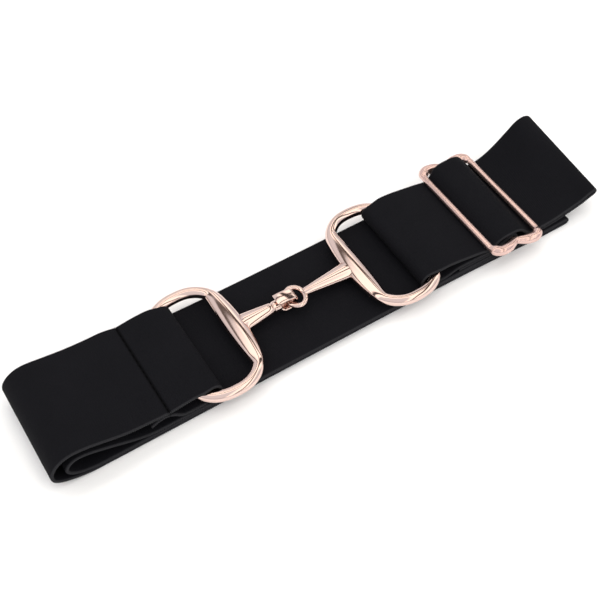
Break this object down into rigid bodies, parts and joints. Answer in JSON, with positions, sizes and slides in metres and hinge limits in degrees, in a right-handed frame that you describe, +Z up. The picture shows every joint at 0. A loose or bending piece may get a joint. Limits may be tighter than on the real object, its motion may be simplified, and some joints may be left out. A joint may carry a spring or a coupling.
{
  "type": "elastic stretch belt",
  "caption": "Folded elastic stretch belt with a snaffle-bit buckle of D rings, hook and ring, and a wire slide adjuster.",
  "frame": {"origin": "middle of the folded belt's box, on the surface that it lies on", "axes": "+X along the folded belt from the hook half to the slide adjuster, +Y across the belt to its far edge, +Z up"},
  "size_m": [0.2819, 0.0634, 0.0239],
  "materials": {
    "elastic": "woven elastic, matt black with ribbed selvedges",
    "buckle_metal": "polished rose gold plating",
    "adjuster_metal": "satin rose gold plating"
  },
  "bodies": {
    "root": {"elastic_band": "elastic", "hook_half": "buckle_metal", "ring_half": "buckle_metal", "slide_adjuster": "adjuster_metal"}
  },
  "joints": []
}
